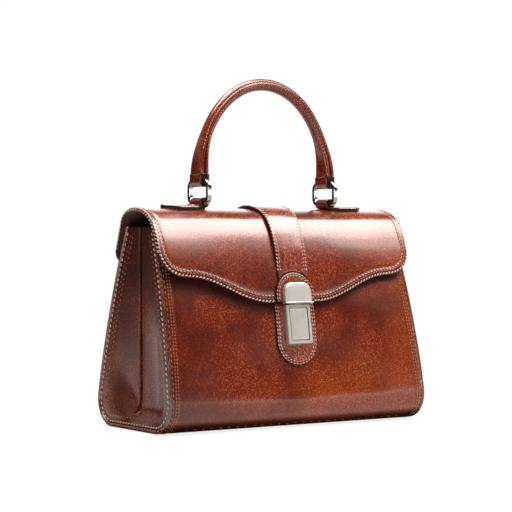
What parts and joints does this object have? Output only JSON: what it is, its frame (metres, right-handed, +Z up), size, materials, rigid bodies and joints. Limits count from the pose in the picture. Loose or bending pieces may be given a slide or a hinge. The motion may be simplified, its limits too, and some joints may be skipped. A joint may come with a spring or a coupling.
{
  "type": "satchel",
  "caption": "Structured leather satchel with a wave-edged flap, a press lock on leather tabs, pleated gussets and a rolled top handle hung on upright rings.",
  "frame": {"origin": "middle of the bag's footprint, on the surface that it stands on", "axes": "+Z up through the handle, +X to the right-hand end seen from the front, and the lock's side faces -Y"},
  "size_m": [0.2698, 0.124, 0.3043],
  "materials": {
    "cognac_leather": "glossy polished calf",
    "dark_leather": "painted edge",
    "lining_suede": "matt suede",
    "salpa_board": "bonded leather board",
    "polished_nickel": "polished to satin nickel plate",
    "plain_steel": "plain",
    "cotton_cord": "laid cord"
  },
  "bodies": {
    "bag": {"front_panel": "cognac_leather", "back_panel": "cognac_leather", "base_panel": "cognac_leather", "wall_board": "salpa_board", "wall_lining": "lining_suede", "gusset_left": "cognac_leather", "gusset_right": "cognac_leather", "gusset_lining_left": "lining_suede", "gusset_lining_right": "lining_suede", "welt_left": "dark_leather", "welt_right": "dark_leather", "inner_pocket": "lining_suede", "front_lock_tab": "cognac_leather", "lock_case": "polished_nickel", "lock_base": "plain_steel", "lock_spring": "plain_steel", "lock_back_plate": "plain_steel", "lock_rivet_1": "plain_steel", "lock_rivet_2": "plain_steel", "lock_rivet_3": "plain_steel", "lock_rivet_4": "plain_steel", "flap_back": "cognac_leather", "strap_back": "cognac_leather"},
    "press": {"lock_button": "polished_nickel", "lock_catch": "plain_steel"},
    "flap": {"flap": "cognac_leather", "flap_lining": "lining_suede", "centre_strap": "cognac_leather", "hasp_tab": "cognac_leather", "hasp_cap": "polished_nickel", "hasp_tongue": "plain_steel", "hasp_back_plate": "plain_steel", "hasp_rivet_1": "plain_steel", "hasp_rivet_2": "plain_steel", "ring_tab_left": "cognac_leather", "ring_tab_right": "cognac_leather"},
    "ring_left": {"ring_left": "polished_nickel"},
    "ring_right": {"ring_right": "polished_nickel"},
    "handle": {"handle_grip": "cognac_leather", "handle_core": "cotton_cord", "handle_loop_left": "cognac_leather", "handle_loop_right": "cognac_leather"}
  },
  "joints": [
    {"name": "lock_press", "type": "slide", "parent": "bag", "child": "press", "axis": [0, 0.987, -0.1607], "range_m": [0, 0.0012], "stiffness_N_per_m": 1500, "springref_m": -0.001, "deforming": ["lock_spring"]},
    {"name": "flap_hinge", "type": "hinge", "parent": "bag", "child": "flap", "pos_m": [0, 0.0267, 0.174], "axis": [-1, 0, 0], "range_deg": [0, 115]},
    {"name": "ring_left_swing", "type": "hinge", "parent": "flap", "child": "ring_left", "pos_m": [-0.0669, 0, 0.19373], "axis": [0, 1, 0], "range_deg": [-50, 50]},
    {"name": "ring_right_swing", "type": "hinge", "parent": "flap", "child": "ring_right", "pos_m": [0.0669, 0, 0.19373], "axis": [0, 1, 0], "range_deg": [-50, 50]},
    {"name": "handle_swing", "type": "hinge", "parent": "ring_left", "child": "handle", "pos_m": [-0.0669, 0, 0.21223], "axis": [0, 1, 0], "range_deg": [-50, 50]}
  ],
  "couplings": [
    {"joint": "ring_right_swing", "follows": "ring_left_swing", "ratio": 1},
    {"joint": "handle_swing", "follows": "ring_left_swing", "ratio": -1}
  ]
}
